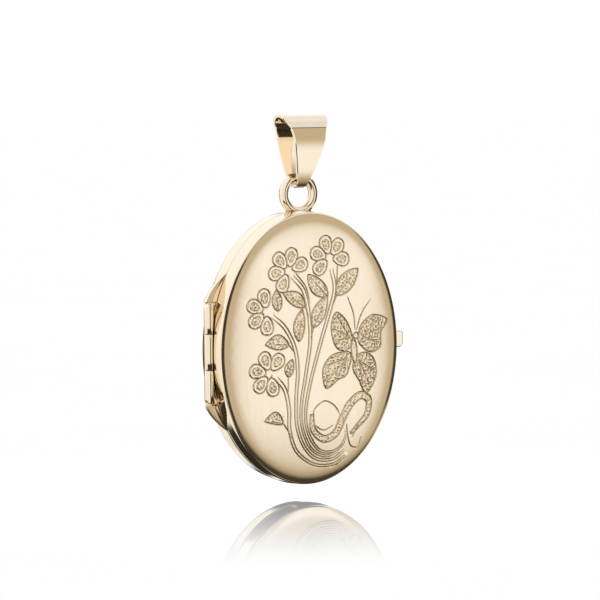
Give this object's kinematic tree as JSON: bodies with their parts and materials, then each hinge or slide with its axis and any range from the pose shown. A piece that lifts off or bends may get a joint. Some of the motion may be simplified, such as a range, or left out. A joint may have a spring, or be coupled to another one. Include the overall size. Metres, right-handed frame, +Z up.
{
  "type": "oval hinged locket",
  "caption": "Oval hinged locket with an engraved domed front, snap bezel, picture frames and a tapered bail on a hanging ring.",
  "frame": {"origin": "inside top of the bail, where the chain runs, on the plane where the two halves part", "axes": "+Z up along the case's height, -Y out of the engraved front, -X towards the hinge"},
  "size_m": [0.025, 0.0049, 0.0404],
  "materials": {
    "polished_gold": "high polish, pale yellow gold",
    "engraved_gold": "high polish with hand-cut engraving",
    "inner_gold": "soft polish, as left inside the case",
    "clear_window": "clear acetate sheet",
    "picture_card": "blank matt card"
  },
  "bodies": {
    "bail": {"bail": "polished_gold"},
    "back_half": {"hanging_ring": "polished_gold", "ring_seat": "polished_gold", "back_cover": "polished_gold", "back_rim": "polished_gold", "snap_bezel": "inner_gold", "catch_bead": "inner_gold", "back_bearer": "inner_gold", "hinge_plate": "polished_gold", "upper_knuckle": "polished_gold", "lower_knuckle": "polished_gold", "hinge_pin": "polished_gold", "back_picture_frame": "inner_gold", "back_window": "clear_window", "back_card": "picture_card"},
    "front_half": {"front_cover": "engraved_gold", "front_rim": "polished_gold", "front_bearer": "inner_gold", "middle_knuckle": "polished_gold", "thumb_piece": "polished_gold", "front_picture_frame": "inner_gold", "front_window": "clear_window", "front_card": "picture_card"}
  },
  "joints": [
    {"name": "bail_swing", "type": "hinge", "parent": "bail", "child": "back_half", "pos_m": [0, 0.00053, -0.00645], "axis": [1, 0, 0], "range_deg": [-65, 65]},
    {"name": "case_hinge", "type": "hinge", "parent": "back_half", "child": "front_half", "pos_m": [-0.0116, 0, -0.02505], "axis": [0, 0, -1], "range_deg": [0, 170]}
  ]
}
